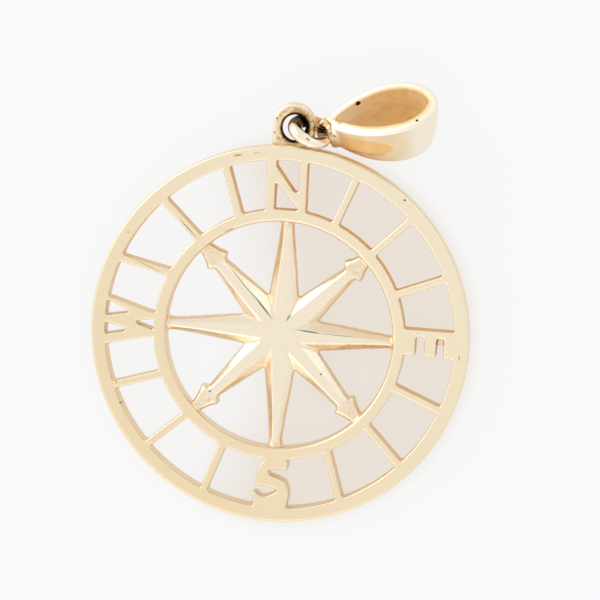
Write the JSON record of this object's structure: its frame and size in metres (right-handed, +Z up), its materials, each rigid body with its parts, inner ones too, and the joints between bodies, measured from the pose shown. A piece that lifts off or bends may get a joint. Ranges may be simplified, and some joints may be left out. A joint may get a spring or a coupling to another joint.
{
  "type": "pierced compass pendant with bail",
  "caption": "Pierced round gold compass charm with a raised rose, lying on its back with its jump ring and tapered bail.",
  "frame": {"origin": "centre of the compass disc's flat back", "axes": "+Y from the letter S to the letter N and the bail, +X to the letter E, +Z up out of the face as the pendant lies on its back"},
  "size_m": [0.025, 0.0297, 0.0054],
  "materials": {
    "disc_gold": "satin",
    "link_gold": "polished",
    "bail_gold": "polished"
  },
  "bodies": {
    "root": {"compass_disc": "disc_gold", "jump_ring": "link_gold", "bail": "bail_gold"}
  },
  "joints": []
}
